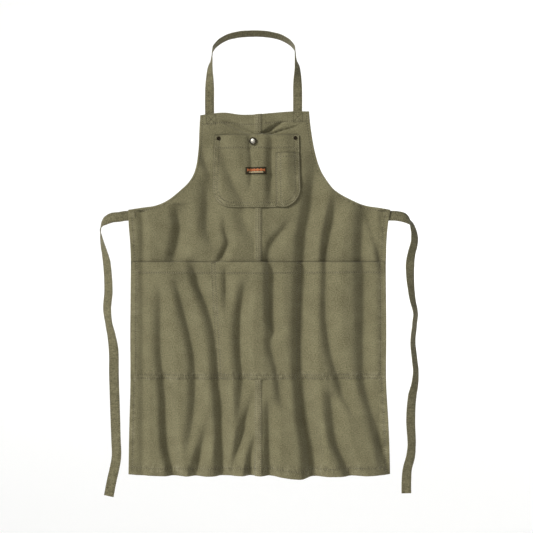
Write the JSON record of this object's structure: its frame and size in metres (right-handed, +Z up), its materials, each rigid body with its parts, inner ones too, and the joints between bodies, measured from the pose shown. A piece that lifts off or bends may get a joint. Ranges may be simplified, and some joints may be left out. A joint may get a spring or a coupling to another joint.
{
  "type": "work apron",
  "caption": "Canvas bib apron with a buttoned chest pocket, a pencil pocket, a divided waist pocket, a fixed neck strap and hanging waist ties.",
  "frame": {"origin": "middle of the neck strap's inner face, where the apron hangs on the back of a neck", "axes": "+Z up, the apron's front faces -Y, +X to the right as seen from the front"},
  "size_m": [0.7589, 0.1341, 1.1191],
  "materials": {
    "canvas": "washed duck canvas with stitched, puckered hems",
    "webbing": "folded and stitched canvas strap",
    "woven_label": null,
    "nickel": "worn bright face in a darkened rim",
    "oxidised_brass": "oxidised dark"
  },
  "bodies": {
    "root": {"body_left_panel": "canvas", "body_right_panel": "canvas", "waist_pocket": "canvas", "bib_pocket": "canvas", "pencil_pocket": "canvas", "neck_strap": "webbing", "waist_tie_left": "webbing", "waist_tie_right": "webbing", "label": "woven_label", "tack_button": "nickel", "rivet_left": "oxidised_brass", "rivet_right": "oxidised_brass"}
  },
  "joints": []
}
